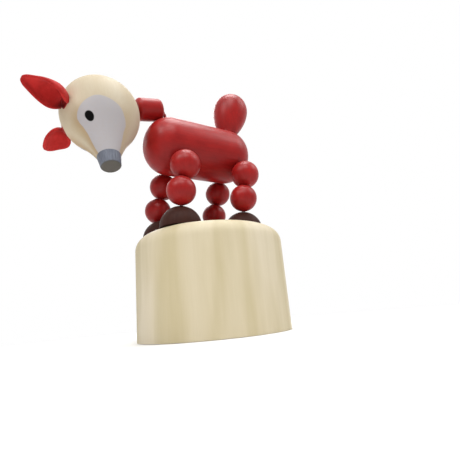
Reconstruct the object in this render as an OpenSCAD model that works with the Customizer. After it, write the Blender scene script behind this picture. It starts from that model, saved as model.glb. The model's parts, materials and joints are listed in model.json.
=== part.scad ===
// Push puppet: a turned and painted wooden fawn on a hollow wooden base.
// Strings run from a sprung thumb button through the feet and leg beads.
// The modelled pose is the photographed one: the front edge of the button is
// pressed in, so the head has dropped forward and the legs sway a little.
// Units are millimetres. The fawn faces -X, its left side is -Y, +Z is up.
// The origin is the middle of the ring that the base stands on.

/* [Base] */
// Outer diameter of the turned base
base_d = 48; // [44:0.5:56]
// Height of the base
base_h = 32; // [28:0.5:40]
// Rounding of the top edge
base_edge_r = 4.5; // [2:0.25:6]
// Wall of the hollow base
base_wall = 4.5; // [3.5:0.25:5.5]
// Thickness of the roof that the feet stand on
base_roof = 6; // [4:0.5:8]

/* [Thumb button] */
// Gap between the level button and the bore
button_clear = 0.4; // [0.3:0.05:0.8]
// Thickness of the button
button_h = 7; // [5:0.5:8]
// Rounding of the button's edges
button_edge_r = 1.2; // [0.6:0.1:2]
// Height of the button's lower face over the standing ring, in its middle
button_lift = 7.3; // [6.5:0.1:8]
// Tilt of the button, front edge up
button_tilt = 6; // [3:0.5:7]
// Depth of the hollow for the thumb
thumb_dish = 1.4; // [0.6:0.1:2]
// Diameter of the hollow for the thumb
thumb_dish_d = 15; // [12:0.5:16]

/* [Return spring] */
// Mean diameter of the coil
spring_d = 12; // [10:0.5:13]
// Wire diameter
spring_wire = 1; // [0.8:0.1:1.2]
// Number of turns
spring_turns = 5; // [4:0.5:5]
// Gap between the coil's ends and what they press on
spring_gap = 0.15; // [0.1:0.05:0.3]

/* [Strings] */
// Diameter of the strings
string_d = 1.2; // [0.8:0.1:1.4]
// Bore of the beads and of the roof
string_bore_d = 2; // [1.8:0.1:2.4]
// Bore of the button, which tilts round the strings
button_bore_d = 2.6; // [2.4:0.1:3]
// Diameter of the knots under the button
knot_d = 3; // [2.8:0.1:3.4]
// Depth of a knot's pocket in the button
knot_pocket = 2.6; // [2:0.1:3]
// How deep a glued string end goes into the barrel or the head
string_root = 6; // [4:0.5:7]
// Height of the upper ends of the pulling strings over the base
pull_string_top = 1; // [0:0.1:1.5]

/* [Legs] */
// Front feet, behind the middle of the base when positive
leg_front_x = -13.4; // [-14:0.1:-12]
// Rear feet, behind the middle of the base
leg_rear_x = 9.1; // [8.5:0.1:12]
// Sideways distance of each foot from the middle
foot_y = 8; // [7.2:0.1:9]
// Diameter of the domed feet
foot_d = 12.8; // [11:0.1:13.4]
// Height of a dome's centre over the base
foot_centre_h = 0.4; // [0:0.1:1.5]
// Diameter of the lower leg beads
shin_d = 9; // [8:0.1:10]
// Diameter of the upper leg beads
thigh_d = 9.5; // [8.5:0.1:10.5]
// Gap between neighbouring beads
bead_gap = 0.12; // [0.1:0.02:0.4]
// Lean of the lower beads towards the tail
shin_lean = -1.5; // [-4:0.5:4]
// Outward lean of the lower beads
shin_splay = 12.5; // [8:0.5:16]
// Lean of the upper beads towards the tail
thigh_lean = 13; // [6:0.5:16]
// Outward lean of the upper beads
thigh_splay = -3.5; // [-6:0.5:2]

/* [Barrel] */
// Diameter of the barrel body
barrel_d = 19.6; // [18:0.1:21]
// Length of the barrel body
barrel_len = 38.7; // [36:0.1:44]
// Rounding of the barrel's ends
barrel_edge_r = 8.6; // [6:0.1:8.8]
// Distance from the front upper beads to the barrel's front end
barrel_front = 9.5; // [8:0.1:12]

/* [Neck] */
// Diameter of the neck bead
neck_d = 7.6; // [6:0.1:8]
// Length of the neck bead
neck_len = 8.8; // [7:0.1:10]
// Rounding of the neck bead's ends
neck_edge_r = 1.4; // [0.6:0.1:1.6]
// Where the neck rests on the barrel's front rounding, from upright
neck_seat_angle = 19.6; // [14:0.2:26]
// Slope of the dropped neck, below level
neck_dip = 12; // [6:0.5:16]
// Gap at both ends of the neck bead
neck_gap = 0.3; // [0.25:0.05:0.5]

/* [Head] */
// Diameter of the round part of the head
head_d = 23.7; // [21:0.1:26]
// How far the head's middle hangs below the neck's axis
head_drop = 3.05; // [2.6:0.05:5]
// Angle between the neck and the snout
head_set = 84; // [78:0.5:92]
// Turn of the head to the left about the neck
head_turn = 15.5; // [0:0.5:25]
// Distance from the head's middle to the painted muzzle ring
muzzle_at = 16.4; // [15.8:0.1:18]
// Diameter at the muzzle ring
muzzle_d = 6.9; // [6:0.1:8]
// Slope of the snout where it meets the muzzle ring
muzzle_slope = 24; // [16:0.5:27]
// Length of the nose beyond the muzzle ring
nose_len = 3.8; // [3:0.1:5]
// Diameter of the flat nose tip
nose_d = 5.9; // [5:0.1:6.5]

/* [Ears] */
// Length of the left and the right ear outside the head
ear_len = [11.6, 9.8]; // [9:0.1:14]
// Greatest width of an ear
ear_w = 6.4; // [5:0.1:8]
// Width of an ear's blunt tip
ear_tip_w = 2.2; // [1.6:0.1:3.2]
// Width of an ear's pinched root
ear_root_w = 2.6; // [2:0.1:3]
// Thickness of the leather
ear_t = 1.4; // [1:0.1:1.8]
// Depth of an ear's cupped hollow
ear_cup = 2.9; // [1:0.1:3.4]
// Length of the pinched stem outside the head
ear_stem = 1.2; // [0.6:0.1:1.6]
// How deep an ear's root is glued into the head
ear_root = 2.6; // [2:0.1:3.4]
// Bore for an ear's root
ear_bore_d = 3.2; // [3:0.1:4.4]
// Sideways position of the left and the right ear, from the crown
ear_side = [23.5, 23]; // [20:0.5:36]
// Position of the left and the right ear towards the snout, from the crown
ear_fore = [6.5, 14.5]; // [4:0.5:16]
// Sideways set of the left and the right ear
ear_splay = [26.5, 57]; // [10:0.5:70]
// Set of the left and the right ear towards the snout
ear_dip = [-6.5, 1.5]; // [-16:0.5:16]
// Turn of the left and the right ear about their length
ear_roll = [41.5, -17.5]; // [-60:0.5:60]

/* [Tail] */
// Length of the egg-shaped tail
tail_len = 18.4; // [13:0.1:19]
// Greatest diameter of the tail
tail_d = 13.4; // [11:0.1:14.5]
// Diameter of the tail's lower end
tail_foot_d = 6.6; // [5.5:0.1:8]
// Backward lean of the tail
tail_lean = 15.5; // [8:0.5:22]
// Distance of the tail's foot from the barrel's rear end
tail_inset = 6.5; // [6.2:0.1:9]
// Diameter of the dowel in the tail
tail_peg_d = 3; // [2.4:0.1:3.6]
// Length of the dowel on each side of the joint
tail_peg_reach = 5; // [4:0.5:7]
// Glue gap round the dowel and under the tail
glue_gap = 0.05; // [0.02:0.01:0.1]

/* [Hidden] */
$fn = 64;

// How far a cut runs past the faces that it opens
cut_over = 1;
// Air behind the glued end of a string or an ear
bore_spare = 0.5;

base_colour = "burlywood";
red_paint = "firebrick";
foot_colour = "#4a3230";
head_wood = "#e6d8b8";
string_colour = "#8c1f1f";
steel = "silver";

// A leg is its name, the place of its foot along X and its side, -1 on the left
LEGS = [["front_left", leg_front_x, -1], ["front_right", leg_front_x, 1],
    ["rear_left", leg_rear_x, -1], ["rear_right", leg_rear_x, 1]];
NEAR_LEG = LEGS[0];

// Base and button
base_r = base_d / 2;
bore_r = base_r - base_wall;
roof_z = base_h - base_roof;
button_r = bore_r - button_clear;
button_mid = [0, 0, button_lift + button_h / 2];

// Height of the tilted button's upper face over a place along X
function button_top_z(x) = button_mid[2] + button_h / 2 / cos(button_tilt) - x * tan(button_tilt);

// A unit vector that leans towards the tail and outwards to one side
function link_dir(lean, splay, side) =
    let (v = [tan(lean), side * tan(splay), 1]) v / norm(v);

// Centres of a foot's dome, a lower bead and an upper bead
function foot_c(leg) = [leg[1], leg[2] * foot_y, base_h + foot_centre_h];
function shin_dir(leg) = link_dir(shin_lean, shin_splay, leg[2]);
function shin_c(leg) = foot_c(leg) + shin_dir(leg) * (foot_d / 2 + bead_gap + shin_d / 2);
function thigh_dir(leg) = link_dir(thigh_lean, thigh_splay, leg[2]);
function thigh_c(leg) = shin_c(leg) + thigh_dir(leg) * (shin_d / 2 + bead_gap + thigh_d / 2);

// Barrel: it rests on the four upper beads
barrel_r = barrel_d / 2;
seat_reach = barrel_r + bead_gap + thigh_d / 2;
seat_y = thigh_c(NEAR_LEG)[1];
barrel_front_x = thigh_c(NEAR_LEG)[0] - barrel_front;
barrel_z = thigh_c(NEAR_LEG)[2] + sqrt(pow(seat_reach, 2) - pow(seat_y, 2));
barrel_rear_x = barrel_front_x + barrel_len;

// Neck: its lower rear rounding is the pivot that rolls on the barrel
neck_r = neck_d / 2;
neck_axis = [-cos(neck_dip), 0, -sin(neck_dip)];
neck_up = [-sin(neck_dip), 0, cos(neck_dip)];
pivot_reach = barrel_edge_r + neck_gap + neck_edge_r;
neck_pivot = [barrel_front_x + barrel_edge_r - pivot_reach * sin(neck_seat_angle), 0,
    barrel_z + barrel_r - barrel_edge_r + pivot_reach * cos(neck_seat_angle)];
neck_rear = neck_pivot + neck_up * (neck_r - neck_edge_r) - neck_axis * neck_edge_r;
// The neck stands square to the barrel's rounding when its string is taut
seat_out = [-sin(neck_seat_angle), 0, cos(neck_seat_angle)];
seat_back = [cos(neck_seat_angle), 0, sin(neck_seat_angle)];
string_exit = neck_pivot + seat_back * (neck_r - neck_edge_r) - seat_out * (neck_edge_r + neck_gap);

// Head: the lower edge of the neck's flat end touches its round part
head_r = head_d / 2;
head_touch = head_drop - (neck_r - neck_edge_r);
head_c = neck_rear - neck_up * head_drop
    + neck_axis * (neck_len + neck_gap + sqrt(pow(head_r, 2) - pow(head_touch, 2)));
snout_angle = 180 + neck_dip + head_set;
snout_turn = atan2(cos(snout_angle), sin(snout_angle));

// Snout outline: an arc that leaves the round part tangentially and ends at the muzzle ring
muzzle_r = muzzle_d / 2;
snout_arc_r = (pow(muzzle_at, 2) + pow(muzzle_r, 2) - pow(head_r, 2))
    / (2 * (head_r - muzzle_at * sin(muzzle_slope) - muzzle_r * cos(muzzle_slope)));
snout_arc_c = [muzzle_r + snout_arc_r * cos(muzzle_slope), muzzle_at + snout_arc_r * sin(muzzle_slope)];
snout_arc_start = atan2(snout_arc_c[1], snout_arc_c[0]);
snout_steps = 10;
nose_edge = 0.35;
nose_tip_at = muzzle_at + nose_len;

// Ears, in the head's own frame: X to the crown, Y to the right, Z to the snout
function ear_dir(splay, dip, side) = [cos(splay) * cos(dip), side * sin(splay) * cos(dip), sin(dip)];
function ear_base(ear, side) = head_r * ear_dir(ear_side[ear], ear_fore[ear], side);
ear_rows = 16;
ear_columns = 8;

// Tail
tail_x = barrel_rear_x - tail_inset;
tail_dir = [sin(tail_lean), 0, cos(tail_lean)];

module rounded_outline(r, h, low_edge, high_edge) {
    square([r - max(low_edge, high_edge), h]);
    translate([0, low_edge]) square([r, h - low_edge - high_edge]);
    intersection() {
        union() {
            translate([r - low_edge, low_edge]) circle(r = low_edge);
            translate([r - high_edge, h - high_edge]) circle(r = high_edge);
            square([r - low_edge, h / 2]);
            translate([0, h / 2]) square([r - high_edge, h / 2]);
        }
        square([r, h]);
    }
}

// A solid of revolution with rounded ends, from its lower face up
module rounded_rod(r, h, edge) {
    rotate_extrude() rounded_outline(r, h, edge, edge);
}

// Points the Z axis of its children along a direction
module aim(direction) {
    tilt = acos(direction[2] / norm(direction));
    rotate([0, tilt, atan2(direction[1], direction[0])]) children();
}

// A straight piece of string through the middle of a bead
module string_piece(middle, direction, length) {
    translate(middle) aim(direction) cylinder(d = string_d, h = length, center = true);
}

module bead(middle, direction, d) {
    translate(middle) aim(direction) difference() {
        sphere(d = d);
        cylinder(d = string_bore_d, h = d + cut_over, center = true);
    }
}

module base_cup() {
    color(base_colour) difference() {
        rotate_extrude() difference() {
            union() {
                square([base_r, base_h - base_edge_r]);
                square([base_r - base_edge_r, base_h]);
                translate([base_r - base_edge_r, base_h - base_edge_r]) circle(r = base_edge_r);
            }
            translate([0, -cut_over]) square([bore_r, roof_z + cut_over]);
        }
        for (leg = LEGS)
            translate([leg[1], leg[2] * foot_y, roof_z - cut_over])
                cylinder(d = string_bore_d, h = base_roof + 2 * cut_over);
    }
}

// Moves children from the level button's own frame to the tilted place
module button_place() {
    translate(button_mid) rotate([0, button_tilt, 0]) children();
}

module push_button() {
    dish_r = (pow(thumb_dish_d / 2, 2) + pow(thumb_dish, 2)) / (2 * thumb_dish);
    color(base_colour) button_place() difference() {
        translate([0, 0, -button_h / 2]) rounded_rod(button_r, button_h, button_edge_r);
        translate([0, 0, -button_h / 2 + thumb_dish - dish_r]) sphere(r = dish_r);
        for (leg = LEGS) translate([leg[1], leg[2] * foot_y, 0]) {
            cylinder(d = button_bore_d, h = button_h + cut_over, center = true);
            translate([0, 0, -button_h / 2 - cut_over])
                cylinder(d = knot_d + 2 * glue_gap, h = knot_pocket + cut_over);
        }
    }
}

// Knots that keep the strings from pulling out of the button
module string_knots() {
    color(string_colour) button_place() for (leg = LEGS)
        translate([leg[1], leg[2] * foot_y, -button_h / 2 + knot_pocket - knot_d / 2]) sphere(d = knot_d);
}

// A string from the button through the roof into the foot, where the leg's strings carry on
module pull_string(leg) {
    low = button_mid[2] + max(0, -leg[1] * tan(button_tilt));
    high = base_h + pull_string_top;
    color(string_colour) translate([leg[1], leg[2] * foot_y, low]) cylinder(d = string_d, h = high - low);
}

// Middle line of the spring: it starts on the raised front edge of the button
function coil_point(turn) =
    let (
        r = spring_d / 2,
        inset = spring_wire / 2 + spring_gap,
        low = button_top_z(-r) + inset / cos(button_tilt),
        high = roof_z - inset
    ) [-r * cos(360 * turn), -r * sin(360 * turn), low + (high - low) * turn / spring_turns];

// A closed tube along points, with rings square to the path
module tube(points, d, sides = 8) {
    last = len(points) - 1;
    along = [for (i = [0 : last]) points[min(i + 1, last)] - points[max(i - 1, 0)]];
    ring_points = [for (i = [0 : last]) let (
            t = along[i] / norm(along[i]),
            flat = cross(t, abs(t[1]) < 0.9 ? [0, 1, 0] : [1, 0, 0]),
            u = flat / norm(flat),
            v = cross(t, u)
        ) for (k = [0 : sides - 1]) points[i] + d / 2 * (cos(360 * k / sides) * u + sin(360 * k / sides) * v)];
    walls = [for (i = [0 : last - 1], k = [0 : sides - 1]) let (
            a = i * sides + k,
            b = i * sides + (k + 1) % sides
        ) each [[a, a + sides, b], [b, a + sides, b + sides]]];
    caps = [[for (k = [0 : sides - 1]) k], [for (k = [sides - 1 : -1 : 0]) last * sides + k]];
    polyhedron(points = ring_points, faces = concat(walls, caps));
}

coil_rings = 14;
coil = [for (i = [0 : coil_rings * spring_turns]) coil_point(i / coil_rings)];
// Least gap between one turn of the coil and the next
coil_gap = min([for (i = [0 : len(coil) - 1], k = [i + coil_rings / 2 : len(coil) - 1])
    norm(coil[i] - coil[k])]) - spring_wire;
echo(coil_gap = coil_gap);

module return_spring() {
    color(steel) tube(coil, spring_wire, 6);
}

module foot(leg) {
    c = foot_c(leg);
    color(foot_colour) difference() {
        translate(c) sphere(d = foot_d);
        translate([c[0] - foot_d, c[1] - foot_d, base_h - foot_d * 2]) cube([foot_d * 2, foot_d * 2, foot_d * 2]);
        translate(c) cylinder(d = string_bore_d, h = foot_d * 2, center = true);
    }
}

module shin_bead(leg) {
    color(red_paint) bead(shin_c(leg), shin_dir(leg), shin_d);
}

module shin_string(leg) {
    color(string_colour) string_piece(shin_c(leg), shin_dir(leg), shin_d);
}

module thigh_bead(leg) {
    color(red_paint) bead(thigh_c(leg), thigh_dir(leg), thigh_d);
}

module thigh_string(leg) {
    color(string_colour) string_piece(thigh_c(leg), thigh_dir(leg), thigh_d);
}

module barrel_form(grow = 0) {
    translate([barrel_front_x - grow, 0, barrel_z]) rotate([0, 90, 0])
        rounded_rod(barrel_r + grow, barrel_len + 2 * grow, barrel_edge_r + grow);
}

// Line from the barrel's surface over an upper bead towards the barrel's axis
function seat_dir(leg) = let (c = thigh_c(leg)) [0, -c[1], barrel_z - c[2]] / seat_reach;
function seat_point(leg) = thigh_c(leg) + seat_dir(leg) * (seat_reach - barrel_r);

module string_socket(place, inwards) {
    translate(place - inwards * cut_over) aim(inwards) cylinder(d = string_bore_d, h = string_root + cut_over);
}

module barrel_body() {
    color(red_paint) difference() {
        barrel_form();
        for (leg = LEGS) string_socket(seat_point(leg), seat_dir(leg));
        string_socket(string_exit + seat_out * cut_over, -seat_out);
        tail_peg_solid(2 * glue_gap);
    }
}

// Glued ends of the leg strings
module barrel_strings() {
    color(string_colour) for (leg = LEGS)
        translate(seat_point(leg)) aim(seat_dir(leg)) cylinder(d = string_d, h = string_root - glue_gap);
}

module tail_place() {
    translate([tail_x, 0, barrel_z + barrel_r]) aim(tail_dir) children();
}

module tail_peg_solid(extra) {
    tail_place() cylinder(d = tail_peg_d + extra, h = 2 * tail_peg_reach + extra, center = true);
}

module tail_peg() {
    color(base_colour) tail_peg_solid(0);
}

// Egg outline: a sine flare from the foot up to the widest ring, then an elliptic top
widest_share = 0.6;
tail_steps = 12;
tail_sink = 1.5;
function tail_outline() = concat(
    [[0, -tail_sink]],
    [[tail_foot_d / 2, -tail_sink]],
    [for (i = [0 : tail_steps]) let (s = i / tail_steps)
        [tail_foot_d / 2 + (tail_d - tail_foot_d) / 2 * sin(90 * s), widest_share * tail_len * s]],
    [for (i = [1 : tail_steps]) let (a = 90 * i / tail_steps)
        [tail_d / 2 * cos(a), tail_len * (widest_share + (1 - widest_share) * sin(a))]]);

module tail() {
    color(red_paint) difference() {
        tail_place() rotate_extrude() polygon(tail_outline());
        barrel_form(glue_gap);
        tail_peg_solid(2 * glue_gap);
    }
}

module neck_bead() {
    color(red_paint) difference() {
        translate(neck_rear) aim(neck_axis) rounded_rod(neck_r, neck_len, neck_edge_r);
        translate(neck_rear - neck_axis * cut_over) aim(neck_axis)
            cylinder(d = string_bore_d, h = neck_len + 2 * cut_over);
    }
}

// The neck's string leaves the barrel, arches over and runs through the neck into the head
function bezier(p, s) = pow(1 - s, 3) * p[0] + 3 * pow(1 - s, 2) * s * p[1]
    + 3 * (1 - s) * pow(s, 2) * p[2] + pow(s, 3) * p[3];
slack_reach = 1.8;
slack_steps = 10;
slack_arch = [string_exit, string_exit + seat_out * slack_reach,
    neck_rear - neck_axis * slack_reach, neck_rear];
neck_string_end = neck_rear + neck_axis * (neck_len + neck_gap + string_root);

module neck_string() {
    route = concat(
        [string_exit - seat_out * (string_root - cut_over - bore_spare)],
        [for (i = [0 : slack_steps]) bezier(slack_arch, i / slack_steps)],
        [neck_string_end]);
    color(string_colour) tube(route, string_d);
}

// Moves children from the head's own frame to its place
module head_place() {
    translate(head_c) rotate(a = head_turn, v = neck_axis) rotate([0, snout_turn, 0]) children();
}

function snout_outline() = concat(
    [[0, 0]],
    [[head_r * cos(snout_arc_start), 0]],
    [for (i = [0 : snout_steps])
        let (a = 180 + snout_arc_start + (muzzle_slope - snout_arc_start) * i / snout_steps)
        snout_arc_c + snout_arc_r * [cos(a), sin(a)]],
    [[nose_d / 2, nose_tip_at - nose_edge]],
    [[nose_d / 2 - nose_edge, nose_tip_at]],
    [[0, nose_tip_at]]);

module head() {
    color(head_wood) difference() {
        head_place() difference() {
            union() {
                sphere(r = head_r);
                rotate_extrude() polygon(snout_outline());
            }
            for (ear = [0, 1]) ear_place(ear) translate([0, 0, -ear_root - bore_spare])
                cylinder(d = ear_bore_d, h = ear_root + bore_spare + ear_bore_d);
        }
        translate(neck_rear + neck_axis * neck_len) aim(neck_axis)
            cylinder(d = string_bore_d, h = neck_gap + string_root + bore_spare);
    }
}

// Ear 0 is the left one, ear 1 the right one; Z runs along the ear, X looks into its hollow
module ear_place(ear) {
    side = ear == 0 ? -1 : 1;
    along = ear_dir(ear_splay[ear], ear_dip[ear], side);
    across = cross(along, [0, 0, 1]);
    y_axis = across / norm(across);
    x_axis = cross(y_axis, along);
    p = ear_base(ear, side);
    multmatrix([[x_axis[0], y_axis[0], along[0], p[0]],
        [x_axis[1], y_axis[1], along[1], p[1]],
        [x_axis[2], y_axis[2], along[2], p[2]]]) rotate([0, 0, ear_roll[ear]]) children();
}

// Share of the leaf's length, from its stem to its blunt tip
function leaf_share(z, length) = max(0, (z - ear_stem) / (length - ear_stem));
// Half width of an ear: widest in its lower part, then an almost straight taper
leaf_skew = 0.67;
function ear_half_w(s) = ear_root_w / 2 * (1 - s)
    + (ear_w - ear_root_w / 2) / 2 * sin(180 * pow(s, leaf_skew)) + ear_tip_w / 2 * s * s;
hollow_skew = 0.8;
// Share of the hollow's depth behind the middle line of an ear
hollow_behind = 0.5;
function ear_hollow(s) = ear_cup * sin(180 * pow(s, hollow_skew));
// The leather thins to this share of itself at its rim
rim_share = 0.4;
function ear_point(row, column, face, length) =
    let (
        z = -ear_root + (ear_root + length) * row / ear_rows,
        s = leaf_share(z, length),
        q = 2 * column / ear_columns - 1,
        rim = sqrt(1 - (1 - rim_share * rim_share) * pow(q, 4)),
        bend = ear_hollow(s) * (q * q - hollow_behind)
    ) [bend + face * ear_t / 2 * rim, q * ear_half_w(s), z];

module ear_form(length) {
    wide = ear_columns + 1;
    front = [for (r = [0 : ear_rows], c = [0 : ear_columns]) ear_point(r, c, 1, length)];
    back = [for (r = [0 : ear_rows], c = [0 : ear_columns]) ear_point(r, c, -1, length)];
    n = len(front);
    skin = [for (r = [0 : ear_rows - 1], c = [0 : ear_columns - 1]) let (a = r * wide + c) each [
        [a, a + wide, a + 1], [a + 1, a + wide, a + wide + 1],
        [n + a, n + a + 1, n + a + wide], [n + a + 1, n + a + wide + 1, n + a + wide]]];
    sides = [for (r = [0 : ear_rows - 1]) let (a = r * wide, b = r * wide + ear_columns) each [
        [a, n + a, a + wide], [a + wide, n + a, n + a + wide],
        [b, b + wide, n + b], [n + b, b + wide, n + b + wide]]];
    top_row = ear_rows * wide;
    ends = [for (c = [0 : ear_columns - 1]) let (t = top_row + c) each [
        [c, c + 1, n + c], [c + 1, n + c + 1, n + c],
        [t, n + t, t + 1], [t + 1, n + t, n + t + 1]]];
    polyhedron(points = concat(front, back), faces = concat(skin, sides, ends));
}

module ear(index) {
    color(red_paint) head_place() ear_place(index) ear_form(ear_len[index]);
}

module ear_left() { ear(0); }
module ear_right() { ear(1); }

base_cup();
push_button();
string_knots();
return_spring();
for (leg = LEGS) {
    pull_string(leg);
    foot(leg);
    shin_bead(leg);
    shin_string(leg);
    thigh_bead(leg);
    thigh_string(leg);
}
barrel_body();
barrel_strings();
tail();
tail_peg();
neck_bead();
neck_string();
head();
ear_left();
ear_right();
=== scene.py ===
"""Looks of the push puppet fawn: paint, wood, leather and cord round the CAD frame."""
import json
import math

import bpy
from mathutils import Matrix, Vector
from mathutils.geometry import interpolate_bezier


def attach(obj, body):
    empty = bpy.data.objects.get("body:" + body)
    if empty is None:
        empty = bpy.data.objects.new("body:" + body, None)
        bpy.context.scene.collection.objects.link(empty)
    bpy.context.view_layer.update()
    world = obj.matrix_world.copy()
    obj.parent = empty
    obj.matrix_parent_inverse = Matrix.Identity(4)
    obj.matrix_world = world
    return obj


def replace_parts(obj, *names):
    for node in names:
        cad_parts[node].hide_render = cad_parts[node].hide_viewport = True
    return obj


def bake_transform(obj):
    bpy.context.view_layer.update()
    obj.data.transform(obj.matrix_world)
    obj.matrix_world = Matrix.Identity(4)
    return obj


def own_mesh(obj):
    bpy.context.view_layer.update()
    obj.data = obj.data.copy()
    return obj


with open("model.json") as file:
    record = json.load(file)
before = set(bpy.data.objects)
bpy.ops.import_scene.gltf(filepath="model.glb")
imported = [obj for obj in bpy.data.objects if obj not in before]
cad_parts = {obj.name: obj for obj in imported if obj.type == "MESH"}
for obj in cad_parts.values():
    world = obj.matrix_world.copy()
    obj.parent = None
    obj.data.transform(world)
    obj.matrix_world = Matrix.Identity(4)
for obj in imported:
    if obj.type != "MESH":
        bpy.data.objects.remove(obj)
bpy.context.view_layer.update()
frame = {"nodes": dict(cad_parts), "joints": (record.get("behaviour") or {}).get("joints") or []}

MM = 0.001
FULL_TURN = 2.0 * math.pi
TO_DEGREES = 180.0 / math.pi
SIDEWAYS = Vector((0.0, 1.0, 0.0))
UPWARD = Vector((0.0, 0.0, 1.0))
LEGS = ("front_left", "front_right", "rear_left", "rear_right")
JOINTS = {joint["name"]: joint for joint in frame["joints"]}

# Camera: the photograph's viewpoint, in metres, pixels and degrees
IMAGE_PX = 460
FOCAL_PX = 334.4
SENSOR_MM = 36.0
CLIP_START = 0.001
CAMERA_AT = Vector((-52.78, -97.52, 5.76)) * MM
CAMERA_AZIMUTH = -32.32
CAMERA_ELEVATION = -14.15
CAMERA_ROLL = 5.23

# Lamps: place and diameter in metres, power in watts
LAMPS = {
    "top_light": ((0.06, 0.0, 0.50), 0.26, 1.15),
    "front_light": ((-0.12, -0.28, 0.44), 0.28, 1.35),
    "right_light": ((0.34, -0.22, 0.42), 0.30, 0.95),
    "left_light": ((-0.36, -0.14, 0.40), 0.24, 1.0),
    "back_light": ((0.12, 0.40, 0.36), 0.28, 1.1),
}
LIGHT_TARGET = Vector((0.0, 0.0, 0.05))
WORLD_STRENGTH = 0.03

# Floor, in metres: how wide, how far below the base and where it fades into the background
FLOOR_SIZE = 6.0
FLOOR_DROP = 0.0001
FLOOR_FADE = (0.05, 0.16)
FLOOR_ROUGHNESS = 0.9

# Neck, as in the solids: places from the frame in metres, sizes in millimetres and degrees
NECK_AXIS = Vector(JOINTS["head_swivel"]["axis"])
NECK_UP = SIDEWAYS.cross(NECK_AXIS)
NECK_REAR = Vector(JOINTS["head_swivel"]["pos_m"])
NECK_PIVOT = Vector(JOINTS["neck_nod"]["pos_m"])
NECK_R = 3.8
NECK_LEN = 8.8
NECK_EDGE = 1.4
NECK_GAP = 0.3
NECK_SEAT = 19.6
NECK_SLACK = 0.9
NECK_ARCH_STEPS = 40
STRING_ROOT = 6.0
STRING_ROOT_BARREL = 4.5

# Head, as in the solids, in the same units: its frame has X to the crown, Y to the right, Z to the snout
HEAD_AHEAD = 20.93
HEAD_DROP = 3.05
HEAD_CENTRE = NECK_REAR + (HEAD_AHEAD * NECK_AXIS - HEAD_DROP * NECK_UP) * MM
HEAD_RADIUS = 11.85
HEAD_TURN = 15.5
SNOUT_TURN = 174.0
SNOUTWARD = Vector((0.0, 0.0, 1.0))

# Cheek patch, in the head's frame: millimetres along the snout, degrees from the crown
PATCH_AZIMUTH = (74.5, 80.5)
PATCH_LEAN_AT = (7.4, 9.4)
PATCH_RIGHT_SHIFT = 12.0
PATCH_HALF_ANGLE = 50.0
PATCH_TOP_AT = 3.5
PATCH_FULL_AT = 10.2
PATCH_TOP_POWER = 0.75
PATCH_FLARE = 8.0
PATCH_FLARE_AT = (11.0, 15.0)
PATCH_WOBBLE = 0.6
PATCH_EDGE = 0.8
PATCH_TOP_EDGE = 0.15
# Brown beside the cheek patches, partly the wood's darker tone and partly painted shade below the near ear:
# its reach, where it starts along the snout and its strength
SHADE_REACH = 33.0
SHADE_FROM = (3.0, 8.0)
SHADE_STRENGTH = (0.3, 0.75)

# Eyes and nose, in the same measures
EYE_AZIMUTH = 54.5
EYE_AT = 8.05
EYE_HALF_WIDTH = 1.22
EYE_HALF_HEIGHT = 1.57
EYE_EDGE = (1.07, 0.93)
MUZZLE_AT = 16.4
MUZZLE_EDGE = 0.08
NOSE_FACE_AT = 19.95
NOSE_FACE_EDGE = 0.12

# Ears, in millimetres and degrees: foot, splay and dip are the solids', the rest is the leather's own, but
# for pinch and fold, the place and strength of the shade painted into the fold at the root
EAR_SET = {
    "ear_left": {"side": -1, "foot": (23.5, 6.5), "splay": 26.5, "dip": -6.5, "roll": 41.5,
                 "len": 11.7, "width": 6.05, "heel": -0.7, "heel_half": 0.9, "lean": 0.05,
                 "hollow": (-60.0, -12.0), "curl": (115.0, 98.0, 43.0), "off_root": (0.0, 1.65),
                 "root_rim": 1.1, "dimple": 1.0, "pinch": (-0.5, -0.8, 0.4), "fold": 0.85},
    "ear_right": {"side": 1, "foot": (23.0, 14.5), "splay": 57.0, "dip": 1.5, "roll": -11.0,
                  "len": 9.3, "width": 6.2, "heel": 0.3, "heel_half": 0.7, "lean": 0.0,
                  "hollow": (20.0, 7.0), "curl": (90.0, 60.0, 30.0), "off_root": (0.2, 1.2),
                  "root_rim": 0.95, "dimple": -0.6, "pinch": (0.0, 0.0, 0.0), "fold": 0.4},
}
EAR_ROWS = 44
EAR_COLUMNS = 32
EAR_TIP_W = 2.2
# Share of the length at which the curl has its middle value, and the skew of the widest place
EAR_CURL_MIDDLE = 0.4
EAR_SKEW = 0.67
EAR_ARC_STEPS = 16
# How far and how late the tip's corners round off, and how deep the sheet starts in the head
EAR_TIP_ROUND = 1.1
EAR_CORNER_POWER = 4
EAR_SINK = 0.25
# Thickness of the sheet, its share at the rims, and how late it thins towards sides and tip
EAR_SHEET = 1.0
EAR_RIM_SHARE = 0.25
EAR_SIDE_POWER = 6
EAR_TIP_POWER = 16
# Range up and down the ear in which its way out of the head is searched
EAR_SEARCH = (-3.0, 5.0)
EAR_SEARCH_STEPS = 24
# Glued root: depth and radius of the bore, and the root's pleats
EAR_ROOT = 2.6
EAR_BORE_R = 1.6
ROOT_SIDES = 40
ROOT_PLEATS = 5
ROOT_PLEAT_DEPTH = 0.04
ROOT_RING_STEP = 0.2
# Reach of the shade painted darkest round the pinched place, standing in for the shadow in the fold
EAR_FOLD_REACH = (0.6, 2.8)

# Cords, in metres: twisted strands, the length of their lay and how finely they are built
CORD_D = 1.16 * MM
STRANDS = 3
STRAND_SHARE = 0.46
STRAND_SIDES = 8
LAY_DIAMETERS = 3.2
RINGS_PER_LAY = 14
FEWEST_RINGS = 6
ROUNDING = 1e-12
ROD_FIT_STEPS = 8

# Knots under the tilted button, in metres and degrees
KNOT_TILT = 6.0
KNOT_R = 1.46 * MM
KNOT_CORD_R = 0.46 * MM
KNOT_HEADROOM = 1.6 * KNOT_CORD_R
KNOT_STEPS = 60
KNOT_SIDES = 10

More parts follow.
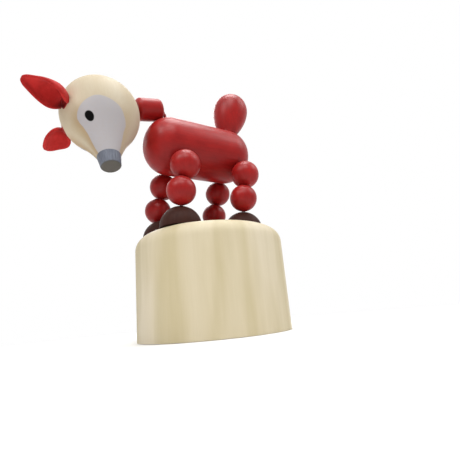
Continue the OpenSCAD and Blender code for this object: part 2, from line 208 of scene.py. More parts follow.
# Return spring, in metres: closed end turns and an open middle
SPRING_R = 6.0 * MM
SPRING_WIRE_R = 0.5 * MM
SPRING_CLOSED_PITCH = 2.04 * SPRING_WIRE_R
SPRING_TURNS = 5
SPRING_STEPS = 40
SPRING_SIDES = 12

# Colours, linear: a pair holds the light and the dark tone of a surface
BASE_WOOD = ((0.70, 0.618, 0.465), (0.59, 0.505, 0.32))
WOOD_FIGURE = (0.515, 0.435, 0.25)
HEAD_WOOD = ((0.635, 0.56, 0.43), (0.535, 0.44, 0.295))
# Brown on the head's wood beside the cheek patches: partly the wood's darker tone, partly painted shade
# below the near ear
HEAD_BROWN_AND_PAINTED_SHADE = (0.42, 0.29, 0.16)
CHEEK_GREY = (0.465, 0.442, 0.456)
NOSE_BAND = ((0.185, 0.20, 0.24), (0.125, 0.135, 0.165))
# The nose's end face: the band's slate paint, painted darker as the shade of the downward-facing end
NOSE_FACE_PAINTED_SHADE = (0.115, 0.107, 0.095)
EYE_BLACK = (0.0015, 0.0013, 0.0012)
RED_PAINT = ((0.345, 0.013, 0.0115), (0.255, 0.008, 0.0075))
FOOT_PAINT = ((0.05, 0.0195, 0.0145), (0.036, 0.0138, 0.0105))
EAR_RED = ((0.50, 0.021, 0.019), (0.37, 0.014, 0.012))
# Painted shade in the fold at each ear's root
EAR_FOLD_PAINTED_SHADE = (0.035, 0.003, 0.0025)
CORD_RED = ((0.34, 0.015, 0.015), (0.20, 0.008, 0.008))
WIRE_STEEL = (0.62, 0.62, 0.64)
FLOOR_TONE = (0.93, 0.93, 0.93)
WHITE = (1.0, 1.0, 1.0)

# Surfaces: lowest roughness and specular level of the paints, and how the grain lies
RED_FINISH = {"gloss": 0.29, "shine": 0.2}
FOOT_FINISH = {"gloss": 0.42, "shine": 0.06}
GLOSS_SPREAD = 0.12
GRAIN_STRETCH = 0.045
FIGURE_STRETCH = 0.13
FIGURE_SHIFT = (66.0, 77.0, 0.0)
# Stretch of a noise's values that is spread over a range of roughness
NOISE_SPAN = (0.3, 0.7)


# Shader helpers

def new_material(name):
    material = bpy.data.materials.new(name)
    material.use_nodes = True
    tree = material.node_tree
    tree.nodes.clear()
    output = tree.nodes.new("ShaderNodeOutputMaterial")
    surface = tree.nodes.new("ShaderNodeBsdfPrincipled")
    tree.links.new(surface.outputs[0], output.inputs["Surface"])
    return material, tree, surface


def feed(tree, socket, value):
    """Puts a value, a colour or another node's output into a socket."""
    if isinstance(value, bpy.types.NodeSocket):
        tree.links.new(value, socket)
    elif hasattr(value, "__len__") and len(value) == 3 and len(socket.default_value) == 4:
        socket.default_value = (*value, 1.0)
    else:
        socket.default_value = value


def math_node(tree, operation, *values):
    node = tree.nodes.new("ShaderNodeMath")
    node.operation = operation
    for socket, value in zip(node.inputs, values):
        feed(tree, socket, value)
    return node.outputs[0]


def mix_node(tree, share, first, second):
    node = tree.nodes.new("ShaderNodeMix")
    node.data_type = "RGBA"
    feed(tree, node.inputs[0], share)
    feed(tree, node.inputs[6], first)
    feed(tree, node.inputs[7], second)
    return node.outputs[2]


def ramp_node(tree, value, low, high, to_low=0.0, to_high=1.0, smooth=False):
    """Spreads the values from low to high over another range, and keeps to that range."""
    node = tree.nodes.new("ShaderNodeMapRange")
    node.interpolation_type = "SMOOTHSTEP" if smooth else "LINEAR"
    for name, part in (("Value", value), ("From Min", low), ("From Max", high),
                       ("To Min", to_low), ("To Max", to_high)):
        feed(tree, node.inputs[name], part)
    return node.outputs[0]


def object_point(tree, scale=(1.0, 1.0, 1.0), shift=(0.0, 0.0, 0.0)):
    """The rest position in millimetres, stretched and shifted for a grain."""
    place = tree.nodes.new("ShaderNodeTexCoord")
    mapping = tree.nodes.new("ShaderNodeMapping")
    mapping.inputs["Location"].default_value = shift
    mapping.inputs["Scale"].default_value = [part / MM for part in scale]
    tree.links.new(place.outputs["Object"], mapping.inputs["Vector"])
    return mapping.outputs[0]


def noise_node(tree, point, scale, detail=3.0, roughness=0.55):
    node = tree.nodes.new("ShaderNodeTexNoise")
    feed(tree, node.inputs["Vector"], point)
    feed(tree, node.inputs["Scale"], scale)
    feed(tree, node.inputs["Detail"], detail)
    feed(tree, node.inputs["Roughness"], roughness)
    return node.outputs[0]


def bump_node(tree, height, depth_mm, strength):
    node = tree.nodes.new("ShaderNodeBump")
    feed(tree, node.inputs["Height"], height)
    feed(tree, node.inputs["Distance"], depth_mm * MM)
    feed(tree, node.inputs["Strength"], strength)
    return node.outputs[0]


# Materials

def grain_scale(axis, stretch=GRAIN_STRETCH):
    """Scale of the grain: fine across it and long along the named axis."""
    return [stretch if letter == axis else 1.0 for letter in "XYZ"]


def bare_wood(name, tones, figure_tone, axis):
    """Bare turned wood: broad growth bands, a soft figure, fine fibres and a dry satin surface."""
    material, tree, surface = new_material(name)
    along = object_point(tree, grain_scale(axis), FIGURE_SHIFT)
    bands = noise_node(tree, along, scale=0.075, detail=1.5)
    fibres = noise_node(tree, along, scale=2.4, detail=4.0, roughness=0.65)
    pores = noise_node(tree, along, scale=5.5, detail=2.0)
    tone = math_node(tree, "ADD", ramp_node(tree, bands, 0.36, 0.64, to_high=0.86),
                     ramp_node(tree, fibres, 0.35, 0.7, to_high=0.14))
    across = object_point(tree, grain_scale(axis, FIGURE_STRETCH), FIGURE_SHIFT)
    figure = noise_node(tree, across, scale=0.15, detail=2.5)
    colour = mix_node(tree, tone, *tones)
    colour = mix_node(tree, ramp_node(tree, figure, 0.42, 0.72, to_high=0.85), colour, figure_tone)
    feed(tree, surface.inputs["Base Color"], colour)
    feed(tree, surface.inputs["Roughness"], ramp_node(tree, fibres, *NOISE_SPAN, to_low=0.46, to_high=0.58))
    feed(tree, surface.inputs["Specular IOR Level"], 0.3)
    feed(tree, surface.inputs["Normal"], bump_node(tree, pores, depth_mm=0.03, strength=0.5))
    return material


def painted_wood(name, tones, axis, gloss, shine):
    """Satin paint that lets the grain show through faintly."""
    material, tree, surface = new_material(name)
    along = object_point(tree, grain_scale(axis))
    streaks = noise_node(tree, along, scale=1.7, roughness=0.6)
    cloud = noise_node(tree, object_point(tree), scale=0.22, detail=2.0)
    tone = math_node(tree, "ADD", ramp_node(tree, cloud, 0.35, 0.65, to_high=0.6),
                     ramp_node(tree, streaks, 0.38, 0.66, to_high=0.4))
    feed(tree, surface.inputs["Base Color"], mix_node(tree, tone, *tones))
    feed(tree, surface.inputs["Roughness"],
         ramp_node(tree, streaks, *NOISE_SPAN, to_low=gloss, to_high=gloss + GLOSS_SPREAD))
    feed(tree, surface.inputs["Specular IOR Level"], shine)
    feed(tree, surface.inputs["Normal"], bump_node(tree, streaks, depth_mm=0.05, strength=0.8))
    return material


def head_matrix():
    turn = Matrix.Rotation(math.radians(HEAD_TURN), 3, NECK_AXIS)
    return turn @ Matrix.Rotation(math.radians(SNOUT_TURN), 3, "Y")


def head_point(tree):
    """Position in the head's own frame, in millimetres, as one socket and as three."""
    place = tree.nodes.new("ShaderNodeTexCoord")
    mapping = tree.nodes.new("ShaderNodeMapping")
    mapping.vector_type = "TEXTURE"
    mapping.inputs["Location"].default_value = HEAD_CENTRE
    mapping.inputs["Rotation"].default_value = head_matrix().to_euler()
    mapping.inputs["Scale"].default_value = (MM, MM, MM)
    split = tree.nodes.new("ShaderNodeSeparateXYZ")
    tree.links.new(place.outputs["Object"], mapping.inputs["Vector"])
    tree.links.new(mapping.outputs[0], split.inputs[0])
    return mapping.outputs[0], split.outputs


def head_grain(tree, point):
    """Colour of the head's wood, with its bands and fibres along the snout, and the fibres."""
    stretched = tree.nodes.new("ShaderNodeMapping")
    stretched.inputs["Scale"].default_value = grain_scale("Z")
    tree.links.new(point, stretched.inputs["Vector"])
    bands = noise_node(tree, stretched.outputs[0], scale=0.1, detail=1.5)
    fibres = noise_node(tree, stretched.outputs[0], scale=2.2, detail=4.0, roughness=0.62)
    tone = math_node(tree, "ADD", ramp_node(tree, bands, 0.32, 0.68, to_high=0.8),
                     ramp_node(tree, fibres, 0.35, 0.7, to_high=0.2))
    return mix_node(tree, tone, *HEAD_WOOD), fibres


def patch_half_angle(tree, point, snout):
    """Half the angle that a cheek patch covers: round at its top, flared at the muzzle."""
    wobble = ramp_node(tree, noise_node(tree, point, scale=0.5), 0.0, 1.0, -PATCH_WOBBLE, PATCH_WOBBLE)
    rise = ramp_node(tree, snout, PATCH_TOP_AT, PATCH_FULL_AT, 1.0, 0.0)
    round_top = math_node(tree, "POWER", math_node(
        tree, "SUBTRACT", 1.0, math_node(tree, "MULTIPLY", rise, rise)), PATCH_TOP_POWER)
    flare = ramp_node(tree, snout, *PATCH_FLARE_AT, to_high=PATCH_FLARE)
    return math_node(tree, "ADD", math_node(tree, "ADD", wobble, flare),
                     math_node(tree, "MULTIPLY", round_top, PATCH_HALF_ANGLE))


def cheek_masks(tree, point, azimuth, side, snout):
    """Masks of the teardrop on each cheek and of the brown on the wood beside it, which is partly the
    wood's darker tone and partly painted shade below the near ear.
    """
    half_angle = patch_half_angle(tree, point, snout)
    off_middle = math_node(tree, "SUBTRACT", azimuth,
                           ramp_node(tree, snout, *PATCH_LEAN_AT, *PATCH_AZIMUTH))
    right_shift = math_node(tree, "MULTIPLY", math_node(tree, "GREATER_THAN", side, 0.0),
                            PATCH_RIGHT_SHIFT)
    off_centre = math_node(tree, "ABSOLUTE", math_node(tree, "SUBTRACT", off_middle, right_shift))
    inside = math_node(tree, "SUBTRACT", half_angle, off_centre)
    below_top = ramp_node(tree, snout, PATCH_TOP_AT, PATCH_TOP_AT + PATCH_TOP_EDGE)
    cheek = math_node(tree, "MULTIPLY", ramp_node(tree, inside, -PATCH_EDGE, PATCH_EDGE), below_top)

    strength = ramp_node(tree, off_middle, 0.0, -1.0, *SHADE_STRENGTH)
    beside = math_node(tree, "SUBTRACT", half_angle, math_node(tree, "ABSOLUTE", off_middle))
    shade = math_node(tree, "MULTIPLY", ramp_node(tree, beside, -SHADE_REACH, 0.0, smooth=True),
                      ramp_node(tree, snout, *SHADE_FROM, smooth=True))
    return cheek, math_node(tree, "MULTIPLY", shade, strength)


def eye_mask(tree, azimuth, snout):
    """Mask of the two oval eyes."""
    eye_ring = math.sqrt(HEAD_RADIUS ** 2 - EYE_AT ** 2)
    mm_per_degree = eye_ring / TO_DEGREES
    eye_x = math_node(tree, "MULTIPLY", math_node(tree, "SUBTRACT", azimuth, EYE_AZIMUTH),
                      mm_per_degree / EYE_HALF_WIDTH)
    eye_y = math_node(tree, "MULTIPLY", math_node(tree, "SUBTRACT", snout, EYE_AT),
                      HEAD_RADIUS / eye_ring / EYE_HALF_HEIGHT)
    reach = math_node(tree, "SQRT", math_node(
        tree, "ADD", math_node(tree, "MULTIPLY", eye_x, eye_x), math_node(tree, "MULTIPLY", eye_y, eye_y)))
    return ramp_node(tree, reach, *EYE_EDGE)


def painted_head(name):
    """Pale wood with a grey teardrop on each cheek, a black eye in it and a slate nose, with painted shade:
    brown beside the patches, partly painted shade and partly the wood's tone, and a darker end face on the
    nose.
    """
    material, tree, surface = new_material(name)
    point, (crown, side, snout) = head_point(tree)
    wood, fibres = head_grain(tree, point)
    azimuth = math_node(tree, "MULTIPLY", math_node(
        tree, "ARCTAN2", math_node(tree, "ABSOLUTE", side), crown), TO_DEGREES)
    cheek, shade = cheek_masks(tree, point, azimuth, side, snout)
    band = ramp_node(tree, snout, MUZZLE_AT - MUZZLE_EDGE, MUZZLE_AT + MUZZLE_EDGE)
    face = ramp_node(tree, snout, NOSE_FACE_AT, NOSE_FACE_AT + NOSE_FACE_EDGE)

    worn = ramp_node(tree, noise_node(tree, point, scale=1.3), *NOISE_SPAN, to_low=0.9)
    # Brown beside the patches: partly the wood's darker tone, partly painted shade below the near ear
    colour = mix_node(tree, shade, wood, HEAD_BROWN_AND_PAINTED_SHADE)
    colour = mix_node(tree, math_node(tree, "MULTIPLY", cheek, worn), colour, CHEEK_GREY)
    colour = mix_node(tree, eye_mask(tree, azimuth, snout), colour, EYE_BLACK)
    slate = mix_node(tree, ramp_node(tree, fibres, 0.35, 0.65), *NOSE_BAND)
    colour = mix_node(tree, band, colour, slate)
    # Painted shade: the nose's end face is coloured darker than its band, as the shade of the
    # downward-facing end
    colour = mix_node(tree, face, colour, NOSE_FACE_PAINTED_SHADE)
    feed(tree, surface.inputs["Base Color"], colour)

    painted = math_node(tree, "MAXIMUM", cheek, band)
    dry = ramp_node(tree, fibres, *NOISE_SPAN, to_low=0.5, to_high=0.62)
    smoother = math_node(tree, "MULTIPLY", painted, GLOSS_SPREAD)
    feed(tree, surface.inputs["Roughness"], math_node(tree, "SUBTRACT", dry, smoother))
    feed(tree, surface.inputs["Specular IOR Level"], 0.07)
    coat = math_node(tree, "ADD", math_node(tree, "MULTIPLY", painted, 0.8),
                     math_node(tree, "MULTIPLY", fibres, 0.6))
    feed(tree, surface.inputs["Normal"], bump_node(tree, coat, depth_mm=0.03, strength=0.6))
    return material


def leather(name, tones, pinch, fold):
    """Dyed leather: fine pebbled grain, matt, a little sheen, with painted shade darkening it in the fold
    at its root.
    """
    material, tree, surface = new_material(name)
    point = object_point(tree)
    pebbles = tree.nodes.new("ShaderNodeTexVoronoi")
    feed(tree, pebbles.inputs["Vector"], point)
    feed(tree, pebbles.inputs["Scale"], 3.2)
    cloud = noise_node(tree, point, scale=0.35)
    colour = mix_node(tree, ramp_node(tree, cloud, 0.35, 0.7), *tones)
    # Painted shade: the colour darkens round the pinched place, where the fold at the root lies in shadow
    away = tree.nodes.new("ShaderNodeVectorMath")
    away.operation = "DISTANCE"
    feed(tree, away.inputs[0], point)
    away.inputs[1].default_value = pinch / MM
    shade = ramp_node(tree, away.outputs["Value"], *EAR_FOLD_REACH, fold, 0.0, smooth=True)
    feed(tree, surface.inputs["Base Color"], mix_node(tree, shade, colour, EAR_FOLD_PAINTED_SHADE))
    feed(tree, surface.inputs["Roughness"], ramp_node(tree, cloud, *NOISE_SPAN, to_low=0.62, to_high=0.78))
    feed(tree, surface.inputs["Specular IOR Level"], 0.15)
    feed(tree, surface.inputs["Sheen Weight"], 0.05)
    feed(tree, surface.inputs["Sheen Roughness"], 0.5)
    grain = bump_node(tree, pebbles.outputs["Distance"], depth_mm=0.03, strength=0.5)
    feed(tree, surface.inputs["Normal"], grain)
    return material


def cord_fibre(name, tones):
    """Dyed cotton cord: fine hairs, matt."""
    material, tree, surface = new_material(name)
    hairs = noise_node(tree, object_point(tree), scale=5.0, detail=4.0, roughness=0.7)
    feed(tree, surface.inputs["Base Color"], mix_node(tree, hairs, *tones))
    feed(tree, surface.inputs["Roughness"], ramp_node(tree, hairs, *NOISE_SPAN, to_low=0.7, to_high=0.9))
    feed(tree, surface.inputs["Sheen Weight"], 0.2)
    feed(tree, surface.inputs["Normal"], bump_node(tree, hairs, depth_mm=0.04, strength=0.6))
    return material


def drawn_wire(name, colour):
    """Bright steel wire with faint drawing marks."""
    material, tree, surface = new_material(name)
    lines = noise_node(tree, object_point(tree), scale=3.0)
    feed(tree, surface.inputs["Base Color"], colour)
    feed(tree, surface.inputs["Metallic"], 1.0)
    feed(tree, surface.inputs["Roughness"], ramp_node(tree, lines, *NOISE_SPAN, to_low=0.22, to_high=0.4))
    feed(tree, surface.inputs["Normal"], bump_node(tree, lines, depth_mm=0.01, strength=0.4))
    return material


def dress(name, material):
    """Gives a CAD node its finish."""
    node = frame["nodes"][name]
    node.data.materials.clear()
    node.data.materials.append(material)
    node.data.shade_smooth()


wood_upright = bare_wood("bare_wood_upright", BASE_WOOD, WOOD_FIGURE, "Z")
red_upright = painted_wood("red_paint_upright", RED_PAINT, "Z", **RED_FINISH)
red_along = painted_wood("red_paint_along", RED_PAINT, "X", **RED_FINISH)
brown_paint = painted_wood("brown_paint", FOOT_PAINT, "Z", **FOOT_FINISH)
face_paint = painted_head("painted_head_wood")
cord_material = cord_fibre("red_cord", CORD_RED)
steel_wire = drawn_wire("spring_wire", WIRE_STEEL)

for node_name in ("base_cup", "push_button", "tail_peg"):
    dress(node_name, wood_upright)
for node_name in ("barrel_body", "neck_bead"):
    dress(node_name, red_along)
dress("tail", red_upright)
dress("head", face_paint)
for leg in LEGS:
    dress("foot_" + leg, brown_paint)
    for bead in ("shin_bead_", "thigh_bead_"):
        dress(bead + leg, red_upright)
dress("barrel_strings", cord_material)


# Camera, light and stage

def add_camera():
    azimuth, elevation, roll = (math.radians(part) for part in
                                (CAMERA_AZIMUTH, CAMERA_ELEVATION, CAMERA_ROLL))
    back = Vector((math.sin(azimuth) * math.cos(elevation),
                   -math.cos(azimuth) * math.cos(elevation), math.sin(elevation)))
    right = Vector((math.cos(azimuth), math.sin(azimuth), 0.0))
    up = back.cross(right)
    x_axis = math.cos(roll) * right - math.sin(roll) * up
    y_axis = math.sin(roll) * right + math.cos(roll) * up
    data = bpy.data.cameras.new("camera")
    data.sensor_width = SENSOR_MM
    data.lens = FOCAL_PX / IMAGE_PX * SENSOR_MM
    data.clip_start = CLIP_START
    camera = bpy.data.objects.new("camera", data)
    turn = Matrix((x_axis, y_axis, back)).transposed()
    camera.matrix_world = Matrix.Translation(CAMERA_AT) @ turn.to_4x4()
    bpy.context.scene.collection.objects.link(camera)
    bpy.context.scene.camera = camera


def add_softbox(name, place, size, power):
    data = bpy.data.lights.new(name, "AREA")
    data.shape = "DISK"
    data.size = size
    data.energy = power
    lamp = bpy.data.objects.new(name, data)
    lamp.location = place
    lamp.rotation_euler = (LIGHT_TARGET - Vector(place)).to_track_quat("-Z", "Y").to_euler()
    bpy.context.scene.collection.objects.link(lamp)


def seen_directly(tree):
    """1 for what the camera, a reflection or a glass pass shows, 0 for plain lighting."""
    path = tree.nodes.new("ShaderNodeLightPath")
    glossy = math_node(tree, "MAXIMUM", path.outputs["Is Glossy Ray"], path.outputs["Is Transmission Ray"])
    return math_node(tree, "MAXIMUM", path.outputs["Is Camera Ray"], glossy)


def add_world():
    """A white background that adds only a little light."""
    world = bpy.data.worlds.new("studio")
    bpy.context.scene.world = world
    world.use_nodes = True
    tree = world.node_tree
    background = tree.nodes["Background"]
    feed(tree, background.inputs["Color"], WHITE)
    shown = seen_directly(tree)
    feed(tree, background.inputs["Strength"], ramp_node(tree, shown, 0.0, 1.0, to_low=WORLD_STRENGTH))


def add_floor():
    """A pale floor that keeps the shadow and runs out into the white background."""
    bpy.ops.mesh.primitive_plane_add(size=FLOOR_SIZE, location=(0.0, 0.0, -FLOOR_DROP))
    floor = bpy.context.object
    floor.name = "floor"
    material, tree, surface = new_material("pale_floor")
    feed(tree, surface.inputs["Base Color"], FLOOR_TONE)
    feed(tree, surface.inputs["Roughness"], FLOOR_ROUGHNESS)
    feed(tree, surface.inputs["Specular IOR Level"], 0.0)
    glow = tree.nodes.new("ShaderNodeEmission")
    place = tree.nodes.new("ShaderNodeTexCoord")
    reach = tree.nodes.new("ShaderNodeVectorMath")
    reach.operation = "LENGTH"
    tree.links.new(place.outputs["Object"], reach.inputs[0])
    fade = ramp_node(tree, reach.outputs["Value"], *FLOOR_FADE, smooth=True)
    mix = tree.nodes.new("ShaderNodeMixShader")
    feed(tree, mix.inputs[0], math_node(tree, "MULTIPLY", fade, seen_directly(tree)))
    tree.links.new(surface.outputs[0], mix.inputs[1])
    tree.links.new(glow.outputs[0], mix.inputs[2])
    output = next(node for node in tree.nodes if node.type == "OUTPUT_MATERIAL")
    tree.links.new(mix.outputs[0], output.inputs["Surface"])
    floor.data.materials.append(material)


bpy.context.scene.view_settings.view_transform = "Standard"
add_camera()
add_world()
for lamp_name, lamp_setting in LAMPS.items():
    add_softbox(lamp_name, *lamp_setting)
add_floor()


# New pieces

def new_piece(name, points, faces, material):
    mesh = bpy.data.meshes.new(name)
    mesh.from_pydata(points, [], faces)
    mesh.validate()
    mesh.materials.append(material)
    mesh.shade_smooth()
    piece = bpy.data.objects.new(name, mesh)
    bpy.context.scene.collection.objects.link(piece)
    return piece


def frame_along(direction, spare):
    """Two unit vectors square to a direction and to each other, the first square to a spare axis too."""
    across = direction.cross(spare).normalized()
    return across, direction.cross(across)


def tube(path, radius, sides, spare, points, faces, loop=False):
    """Adds a tube along a path to lists of points and faces, with flat ends or closed to a loop."""
    start, rows = len(points), len(path)
    for index, middle in enumerate(path):
        if loop:
            along = path[(index + 1) % rows] - path[index - 1]
        else:
            along = path[min(index + 1, rows - 1)] - path[max(index - 1, 0)]
        across, rise = frame_along(along.normalized(), spare)
        for step in range(sides):
            angle = FULL_TURN * step / sides
            points.append(middle + radius * (math.cos(angle) * across + math.sin(angle) * rise))
    for row in range(rows if loop else rows - 1):
        here, there = start + row * sides, start + (row + 1) % rows * sides
        for step in range(sides):
            after = (step + 1) % sides
            faces.append((here + step, here + after, there + after, there + step))
    if not loop:
        faces.append([start + step for step in reversed(range(sides))])
        faces.append([start + (rows - 1) * sides + step for step in range(sides)])


# Cords through the button, the feet and the beads

def even_steps(path, diameter):
    """Evenly spaced places on a path: each with the direction there and the length up to it."""
    lengths = [0.0]
    for before, after in zip(path, path[1:]):
        lengths.append(lengths[-1] + (after - before).length)
    rings = max(FEWEST_RINGS, round(lengths[-1] / (LAY_DIAMETERS * diameter) * RINGS_PER_LAY))
    places = []
    for ring in range(rings + 1):
        reach = lengths[-1] * ring / rings
        index = next(i for i in range(len(path) - 1) if lengths[i + 1] >= reach - ROUNDING)
        share = (reach - lengths[index]) / (lengths[index + 1] - lengths[index])
        before, after = path[index], path[index + 1]
        places.append((before.lerp(after, share), (after - before).normalized(), reach))
    return places


def twisted(path, diameter, name):
    """A cord of three twisted strands along a path."""
    strand_r = STRAND_SHARE * diameter / 2.0
    offset = diameter / 2.0 - strand_r
    places = even_steps(path, diameter)
    points, faces = [], []
    for strand in range(STRANDS):
        route = []
        for middle, along, reach in places:
            across, rise = frame_along(along, SIDEWAYS)
            angle = FULL_TURN * (strand / STRANDS + reach / (LAY_DIAMETERS * diameter))
            route.append(middle + offset * (math.cos(angle) * across + math.sin(angle) * rise))
        tube(route, strand_r, STRAND_SIDES, SIDEWAYS, points, faces)
    return new_piece(name, points, faces, cord_material)


def rod_ends(node):
    """Ends of the middle line of a straight round CAD node."""
    points = [vertex.co.copy() for vertex in frame["nodes"][node].data.vertices]
    middle = sum(points, Vector()) / len(points)
    far = max(points, key=lambda p: (p - middle).length)
    along = (far - middle).normalized()
    for _ in range(ROD_FIT_STEPS):
        along = sum(((p - middle) * (p - middle).dot(along) for p in points), Vector()).normalized()
    reach = max((p - middle).dot(along) for p in points)
    return middle - along * reach, middle + along * reach


for leg in LEGS:
    for kind, body in (("pull_string_", "pull_strings"), ("shin_string_", "shin_" + leg),
                       ("thigh_string_", "thigh_" + leg)):
        cord = twisted(rod_ends(kind + leg), CORD_D, "cord_" + kind + leg)
        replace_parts(cord, kind + leg)
        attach(cord, body)


# Ears

def ease(value):
    """Runs smoothly from 0 to 1 and stays there."""
    value = min(max(value, 0.0), 1.0)
    return value * value * (3.0 - 2.0 * value)


def leaf_half_width(height, setting):
    """Half width of the leaf, which rounds off to its heel at the head."""
    heel, heel_half = setting["heel"], setting["heel_half"]
    share = max(0.0, (height - heel) / (setting["len"] - heel))
    belly = (setting["width"] - heel_half) / 2 * math.sin(math.pi * share ** EAR_SKEW)
    return heel_half * (1 - share) + belly + EAR_TIP_W / 2 * share * share


def leaf_curl(share, curl):
    """Half angle of the arc that the leaf is curled to."""
    root, middle, tip = curl
    if share < EAR_CURL_MIDDLE:
        return math.radians(root + (middle - root) * ease(share / EAR_CURL_MIDDLE))
    above = (share - EAR_CURL_MIDDLE) / (1.0 - EAR_CURL_MIDDLE)
    return math.radians(middle + (tip - middle) * ease(above))


def leaf_section(height, across, setting):
    """A point of the curled leaf, from -1 to 1 across it: an arc that opens towards the hollow."""
    share = max(0.0, height) / setting["len"]
    curl = leaf_curl(share, setting["curl"])
    at_root, at_tip = setting["hollow"]
    turn = math.radians(at_root + (at_tip - at_root) * ease(share))
    near, away = setting["off_root"]
    angles = [curl * step / EAR_ARC_STEPS - turn for step in range(-EAR_ARC_STEPS, EAR_ARC_STEPS + 1)]
    sines = [math.sin(angle) for angle in angles]
    cosines = [math.cos(angle) for angle in angles]
    radius = 2.0 * leaf_half_width(height, setting) / (max(sines) - min(sines))
    angle = across * curl - turn
    x = radius * ((max(cosines) + min(cosines)) / 2.0 - math.cos(angle))
    y = radius * (math.sin(angle) - (max(sines) + min(sines)) / 2.0)
    grown = ease(share / EAR_CURL_MIDDLE)
    return Vector((x + near + (away - near) * grown, y + setting["lean"] * (1.0 - grown), height))


def ear_place(setting):
    """Foot of an ear and its axes, in the head's frame."""
    side = setting["side"]
    splay, dip, roll, base_side, base_fore = (math.radians(part) for part in (
        setting["splay"], setting["dip"], setting["roll"], *setting["foot"]))

    def direction(sideways, forward):
        return Vector((math.cos(sideways) * math.cos(forward),
                       side * math.sin(sideways) * math.cos(forward), math.sin(forward)))

    along = direction(splay, dip)
    y_axis = along.cross(SNOUTWARD).normalized()
    x_axis = y_axis.cross(along)
    turn = Matrix((x_axis, y_axis, along)).transposed() @ Matrix.Rotation(roll, 3, "Z")
    return HEAD_RADIUS * direction(base_side, base_fore), turn


def leaves_head(point_at, foot, turn):
    """How far up the ear a line comes out of the round head."""
    low, high = EAR_SEARCH
    for _ in range(EAR_SEARCH_STEPS):
        middle = (low + high) / 2.0
        outside = (foot + turn @ point_at(middle)).length > HEAD_RADIUS
        low, high = (low, middle) if outside else (middle, high)
    return high


def leather_piece(name, points, thickness, material):
    """A sheet of leather, pared thin towards its rims, from rows of points in the head's frame."""
    head = head_matrix()
    width = EAR_COLUMNS + 1
    faces = []
    for row in range(EAR_ROWS):
        for column in range(EAR_COLUMNS):
            a = row * width + column
            faces.append((a, a + 1, a + width + 1, a + width))
    placed = [HEAD_CENTRE + head @ point * MM for point in points]
    piece = new_piece(name, placed, faces, material)
    group = piece.vertex_groups.new(name="body")
    for index, weight in enumerate(thickness):
        group.add([index], weight, "REPLACE")
    solid = piece.modifiers.new("thickness", "SOLIDIFY")
    solid.thickness = EAR_SHEET * MM
    solid.offset = 0.0
    solid.vertex_group = group.name
    solid.thickness_vertex_group = EAR_RIM_SHARE
    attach(piece, "head")
    return piece


def ear_mesh(name, setting, material):
    """A leather leaf, curled together at the head, with a hollow and a blunt tip."""
    foot, turn = ear_place(setting)
    places = [2.0 * column / EAR_COLUMNS - 1.0 for column in range(EAR_COLUMNS + 1)]
    starts = [leaves_head(lambda height: leaf_section(height, across, setting), foot, turn) - EAR_SINK
              for across in places]
    points, thickness = [], []
    for row in range(EAR_ROWS + 1):
        share = row / EAR_ROWS
        for across, start in zip(places, starts):
            end = setting["len"] - EAR_TIP_ROUND * across ** EAR_CORNER_POWER
            height = start + (end - start) * share
            points.append(foot + turn @ leaf_section(height, across, setting))
            thickness.append(math.sqrt((1.0 - across ** EAR_SIDE_POWER) * (1.0 - share ** EAR_TIP_POWER)))
    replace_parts(leather_piece("leather_" + name, points, thickness, material), name)


def ear_root(name, setting, material):
    """The pinched end of the leather, glued into its bore, with a few pleats and a deep fold."""
    # Height above the head's surface, or None down in the bore, and share of the bore's radius
    rings = ((None, 0.9), (None, 0.98), (-0.2, 0.98), (0.06, setting["root_rim"]),
             (0.0, 0.82), (-0.5 * setting["dimple"], 0.6), (-0.8 * setting["dimple"], 0.2))
    foot, turn = ear_place(setting)
    head = head_matrix()
    points = []
    for index, (rise, share) in enumerate(rings):
        for step in range(ROOT_SIDES):
            angle = FULL_TURN * step / ROOT_SIDES
            pleat = 1.0 - ROOT_PLEAT_DEPTH + ROOT_PLEAT_DEPTH * math.cos(ROOT_PLEATS * angle)
            radius = EAR_BORE_R * share * pleat
            x, y = radius * math.cos(angle), radius * math.sin(angle)
            z = (-EAR_ROOT + ROOT_RING_STEP * index if rise is None else
                 rise + leaves_head(lambda height: Vector((x, y, height)), foot, turn))
            points.append(HEAD_CENTRE + head @ (foot + turn @ Vector((x, y, z))) * MM)
    faces = []
    for row in range(len(rings) - 1):
        for step in range(ROOT_SIDES):
            a, b = row * ROOT_SIDES + step, row * ROOT_SIDES + (step + 1) % ROOT_SIDES
            faces.append((a, b, b + ROOT_SIDES, a + ROOT_SIDES))
    faces.append(list(reversed(range(ROOT_SIDES))))
    faces.append([(len(rings) - 1) * ROOT_SIDES + step for step in range(ROOT_SIDES)])
    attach(new_piece("leather_root_" + name, points, faces, material), "head")


for ear_name, ear_setting in EAR_SET.items():
    ear_foot, ear_turn = ear_place(ear_setting)
    # Middle of the shade painted into each ear's fold
    ear_pinch = HEAD_CENTRE + head_matrix() @ (ear_foot + ear_turn @ Vector(ear_setting["pinch"])) * MM
    ear_leather = leather("red_" + ear_name, EAR_RED, ear_pinch, ear_setting["fold"])
    ear_mesh(ear_name, ear_setting, ear_leather)
    ear_root(ear_name, ear_setting, ear_leather)


# Neck string: out of the barrel, over in an arch and through the neck bead into the head

def neck_route():
    seat = math.radians(NECK_SEAT)
    out = Vector((-math.sin(seat), 0.0, math.cos(seat)))
    back = Vector((math.cos(seat), 0.0, math.sin(seat)))
    leave = NECK_PIVOT + (back * (NECK_R - NECK_EDGE) - out * (NECK_EDGE + NECK_GAP)) * MM
    arch = interpolate_bezier(leave, leave + out * NECK_SLACK * MM,
                              NECK_REAR - NECK_AXIS * NECK_SLACK * MM, NECK_REAR, NECK_ARCH_STEPS)
    start = leave - out * STRING_ROOT_BARREL * MM
    end = NECK_REAR + NECK_AXIS * (NECK_LEN + NECK_GAP + STRING_ROOT) * MM
    return [start, *arch, end]


neck_line = neck_route()
neck_cord = twisted(neck_line, CORD_D, "cord_neck_string")
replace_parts(neck_cord, "neck_string")
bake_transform(neck_cord)


# Knots under the button

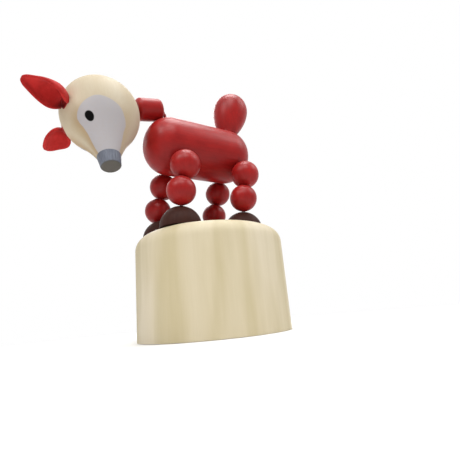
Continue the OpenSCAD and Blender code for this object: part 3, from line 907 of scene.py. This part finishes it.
def knot_centres():
    """Middles of the four round solids that stand for the knots."""
    points = [vertex.co for vertex in frame["nodes"]["string_knots"].data.vertices]
    centres = []
    for x_sign in (-1, 1):
        for y_sign in (-1, 1):
            own = [p for p in points if p.x * x_sign > 0 and p.y * y_sign > 0]
            low = Vector([min(p[axis] for p in own) for axis in range(3)])
            high = Vector([max(p[axis] for p in own) for axis in range(3)])
            centres.append((low + high) / 2)
    return centres


def knot_line(centre):
    """An overhand knot drawn tight: a trefoil within the round space of the solid."""
    turn = Matrix.Rotation(math.radians(KNOT_TILT), 3, "Y")
    wide = (KNOT_R - KNOT_CORD_R) / 3.0
    tall = KNOT_R - KNOT_HEADROOM
    line = []
    for step in range(KNOT_STEPS):
        t = FULL_TURN * step / KNOT_STEPS
        own = Vector((wide * (math.sin(t) + 2.0 * math.sin(2.0 * t)),
                      wide * (math.cos(t) - 2.0 * math.cos(2.0 * t)), -tall * math.sin(3.0 * t)))
        line.append(centre + turn @ own)
    return line


def add_knots():
    points, faces = [], []
    for centre in knot_centres():
        tube(knot_line(centre), KNOT_CORD_R, KNOT_SIDES, UPWARD, points, faces, loop=True)
    knots = new_piece("cord_knots", points, faces, cord_material)
    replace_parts(knots, "string_knots")
    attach(knots, "button")


add_knots()


# Return spring

def spring_line():
    """Middle line of the wire, between the lowest and the highest point of the solid."""
    heights = [vertex.co.z for vertex in frame["nodes"]["return_spring"].data.vertices]
    low, high = min(heights) + SPRING_WIRE_R, max(heights) - SPRING_WIRE_R
    open_turns = SPRING_TURNS - 2
    open_pitch = (high - low - 2.0 * SPRING_CLOSED_PITCH) / open_turns
    line = []
    for step in range(SPRING_TURNS * SPRING_STEPS + 1):
        turn = step / SPRING_STEPS
        opened = min(max(turn - 1.0, 0.0), open_turns)
        z = low + SPRING_CLOSED_PITCH * (turn - opened) + open_pitch * opened
        angle = FULL_TURN * turn
        line.append(Vector((-SPRING_R * math.cos(angle), -SPRING_R * math.sin(angle), z)))
    return line


def add_spring():
    points, faces = [], []
    tube(spring_line(), SPRING_WIRE_R, SPRING_SIDES, UPWARD, points, faces)
    spring = new_piece("wire_spring", points, faces, steel_wire)
    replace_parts(spring, "return_spring")
    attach(spring, "base")
    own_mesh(spring)


add_spring()
